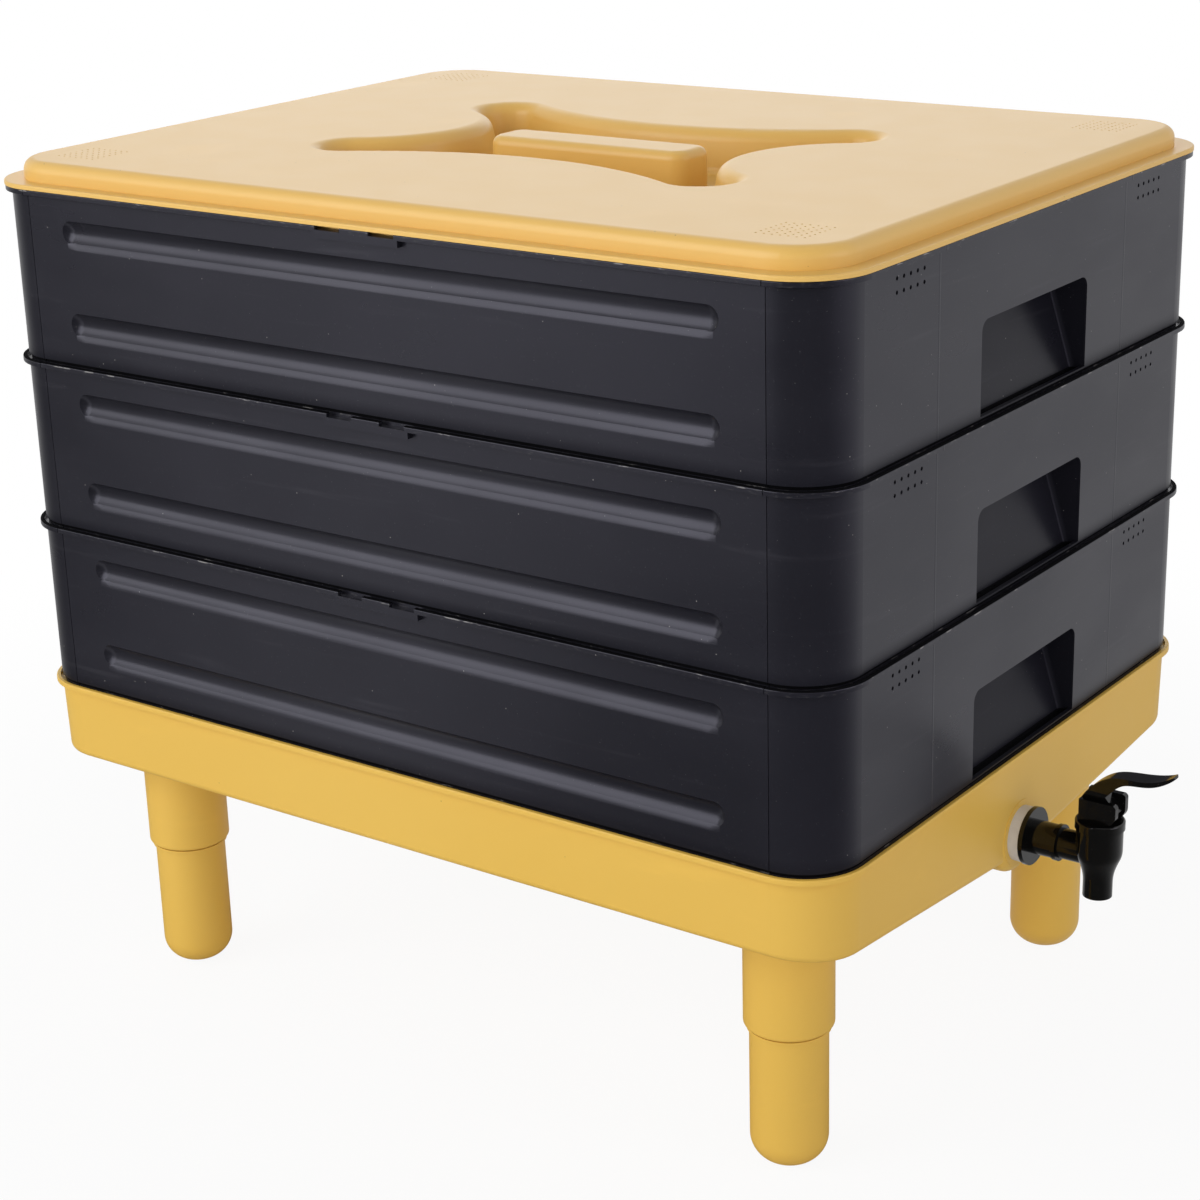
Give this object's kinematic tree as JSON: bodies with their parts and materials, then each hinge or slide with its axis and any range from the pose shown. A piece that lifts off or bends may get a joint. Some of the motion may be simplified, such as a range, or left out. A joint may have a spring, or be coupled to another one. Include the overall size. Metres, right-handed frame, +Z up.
{
  "type": "stacking worm composter",
  "caption": "Black stacking worm composter trays under a yellow lid with a grip bar in a lobed well, on a yellow sloped draining base with two-stage legs and a lever tap.",
  "frame": {"origin": "on the ground, in the middle of the outline from above, tap lever included", "axes": "+X along the long side, towards the tap; -Y towards the long side that faces the camera; +Z up"},
  "size_m": [0.6082, 0.4006, 0.4785],
  "materials": {
    "lid_plastic": "satin moulded polypropylene",
    "yellow_plastic": "satin moulded polypropylene",
    "tray_plastic": "satin charcoal black",
    "tap_plastic": "gloss black",
    "stem_plastic": "natural acetal",
    "washer_rubber": "pale grey",
    "seat_rubber": "soft black",
    "spring_steel": "drawn wire"
  },
  "bodies": {
    "stand": {"collector_base": "yellow_plastic", "leg_upper_front_left": "yellow_plastic", "leg_upper_front_right": "yellow_plastic", "leg_upper_back_left": "yellow_plastic", "leg_upper_back_right": "yellow_plastic", "leg_lower_front_left": "yellow_plastic", "leg_lower_front_right": "yellow_plastic", "leg_lower_back_left": "yellow_plastic", "leg_lower_back_right": "yellow_plastic", "tap_body": "tap_plastic", "tap_washer_1": "washer_rubber", "tap_washer_2": "washer_rubber", "tap_nut": "tap_plastic", "tap_bonnet": "tap_plastic", "tap_spring": "spring_steel"},
    "tray_1": {"tray_1_end_left": "tray_plastic", "tray_1_end_right": "tray_plastic", "tray_1_panel_front": "tray_plastic", "tray_1_panel_back": "tray_plastic", "tray_1_floor": "tray_plastic"},
    "tray_2": {"tray_2_end_left": "tray_plastic", "tray_2_end_right": "tray_plastic", "tray_2_panel_front": "tray_plastic", "tray_2_panel_back": "tray_plastic", "tray_2_floor": "tray_plastic"},
    "tray_3": {"tray_3_end_left": "tray_plastic", "tray_3_end_right": "tray_plastic", "tray_3_panel_front": "tray_plastic", "tray_3_panel_back": "tray_plastic", "tray_3_floor": "tray_plastic"},
    "lid": {"lid": "lid_plastic"},
    "tap_lever": {"tap_lever": "tap_plastic"},
    "tap_stem": {"tap_stem": "stem_plastic", "tap_seat_cup": "seat_rubber"}
  },
  "joints": [
    {"name": "tray_1_lift", "type": "slide", "parent": "stand", "child": "tray_1", "axis": [0, 0, 1], "range_m": [0, 0.12]},
    {"name": "tray_2_lift", "type": "slide", "parent": "tray_1", "child": "tray_2", "axis": [0, 0, 1], "range_m": [0, 0.12]},
    {"name": "tray_3_lift", "type": "slide", "parent": "tray_2", "child": "tray_3", "axis": [0, 0, 1], "range_m": [0, 0.12]},
    {"name": "lid_lift", "type": "slide", "parent": "tray_3", "child": "lid", "axis": [0, 0, 1], "range_m": [0, 0.08]},
    {"name": "lever_pivot", "type": "hinge", "parent": "stand", "child": "tap_lever", "pos_m": [0.2693, 0, 0.1621], "axis": [0, 1, 0], "range_deg": [0, 25], "stiffness_Nm_per_rad": 0.15, "springref_deg": -20.05},
    {"name": "stem_slide", "type": "slide", "parent": "stand", "child": "tap_stem", "axis": [0, 0, 1], "range_m": [0, 0.00266], "deforming": ["tap_spring"]}
  ],
  "couplings": [
    {"joint": "stem_slide", "follows": "lever_pivot", "m_per_rad": 0.0059847}
  ]
}
